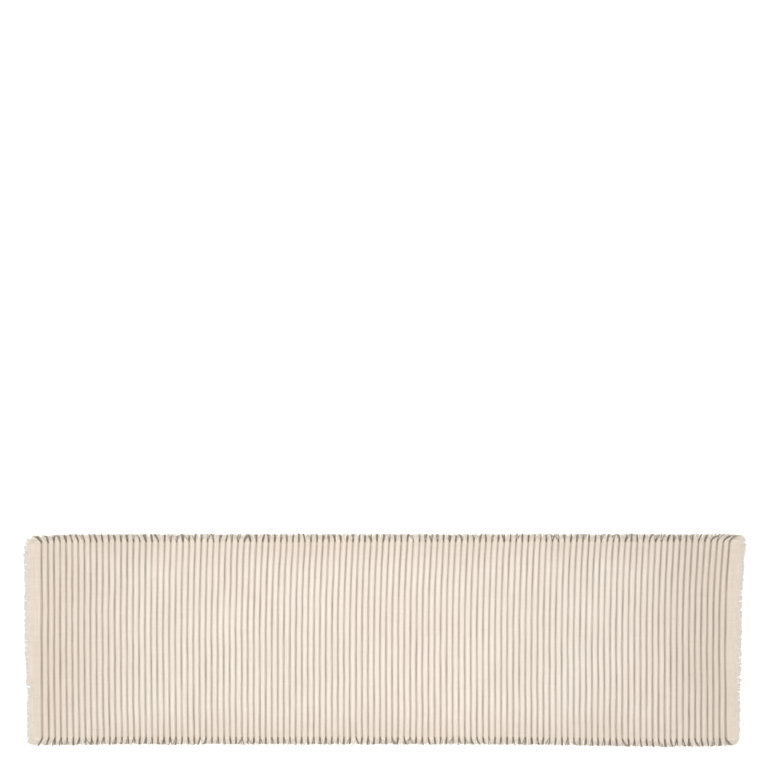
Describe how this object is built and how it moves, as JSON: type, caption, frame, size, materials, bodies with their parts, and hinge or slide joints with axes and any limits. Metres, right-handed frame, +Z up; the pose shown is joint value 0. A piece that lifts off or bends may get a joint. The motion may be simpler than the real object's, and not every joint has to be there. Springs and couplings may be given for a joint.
{
  "type": "table runner",
  "caption": "Long flat-woven cotton table runner with narrow crosswise stripes and a short fringe on all four sides, lying flat.",
  "frame": {"origin": "centre of the runner's underside, on the surface it lies on", "axes": "+X along the length towards the right end, +Y across the width towards the back long side, +Z up out of the cloth"},
  "size_m": [1.219, 0.358, 0.0018],
  "materials": {
    "natural_cotton": "matte woven undyed cotton",
    "taupe_cotton": "matte dyed cotton yarn",
    "sewing_thread": "matte spun sewing thread"
  },
  "bodies": {
    "root": {"woven_panel": "natural_cotton", "coloured_weft": "taupe_cotton", "end_fringe_left": "natural_cotton", "end_fringe_right": "natural_cotton", "side_fringe_front": "natural_cotton", "side_fringe_back": "natural_cotton", "needle_thread_front": "sewing_thread", "needle_thread_back": "sewing_thread", "needle_thread_left": "sewing_thread", "needle_thread_right": "sewing_thread", "bobbin_thread_front": "sewing_thread", "bobbin_thread_back": "sewing_thread", "bobbin_thread_left": "sewing_thread", "bobbin_thread_right": "sewing_thread"}
  },
  "joints": []
}
